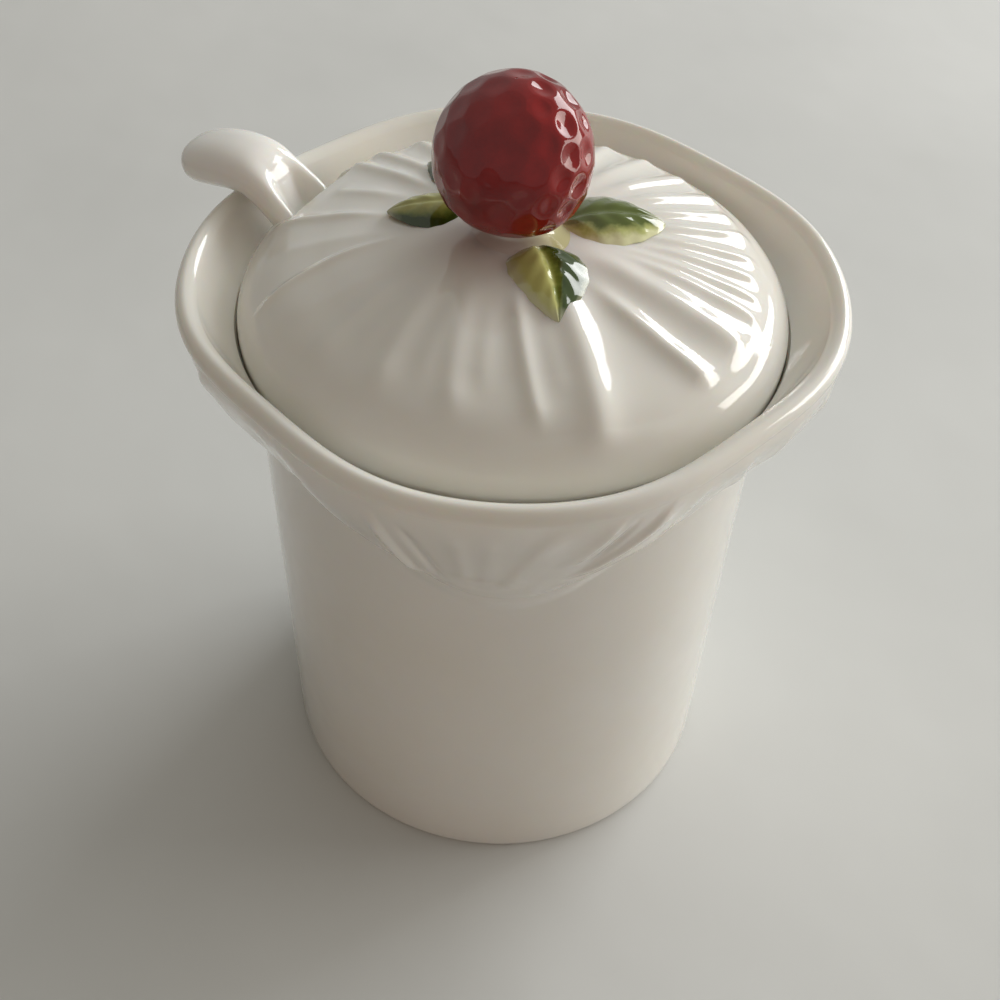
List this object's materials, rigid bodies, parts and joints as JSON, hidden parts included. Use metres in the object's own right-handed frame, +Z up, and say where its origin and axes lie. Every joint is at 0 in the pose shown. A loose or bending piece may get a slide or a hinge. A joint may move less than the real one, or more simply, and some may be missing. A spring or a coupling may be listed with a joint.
{
  "type": "jam pot",
  "caption": "Lidded ceramic jam pot with a pleated four-lobed collar, a fluted domed lid with a berry knob, and a spoon that hooks over the rim.",
  "frame": {"origin": "centre of the foot, on the table plane", "axes": "+Z up along the axis of the body, the front faces -Y, and the spoon's handle points to the back left, 155 degrees from +X"},
  "size_m": [0.0989, 0.0954, 0.1257],
  "materials": {
    "ivory_glaze": "glossy ivory glaze",
    "stalk_glaze": "glossy pale yellow-green glaze",
    "berry_glaze": "glossy deep red glaze",
    "leaf_glaze": "glossy mottled green and yellow-green glaze"
  },
  "bodies": {
    "pot": {"pot": "ivory_glaze"},
    "spoon": {"spoon": "ivory_glaze"},
    "lid": {"lid": "ivory_glaze", "stalk": "stalk_glaze", "berry": "berry_glaze", "leaf_front": "leaf_glaze", "leaf_right": "leaf_glaze", "leaf_back": "leaf_glaze", "leaf_left": "leaf_glaze"}
  },
  "joints": [
    {"name": "spoon_lift", "type": "slide", "parent": "pot", "child": "spoon", "axis": [0, 0, 1], "range_m": [0, 0.106]},
    {"name": "lid_lift", "type": "slide", "parent": "spoon", "child": "lid", "axis": [0, 0, 1], "range_m": [0, 0.06]}
  ]
}
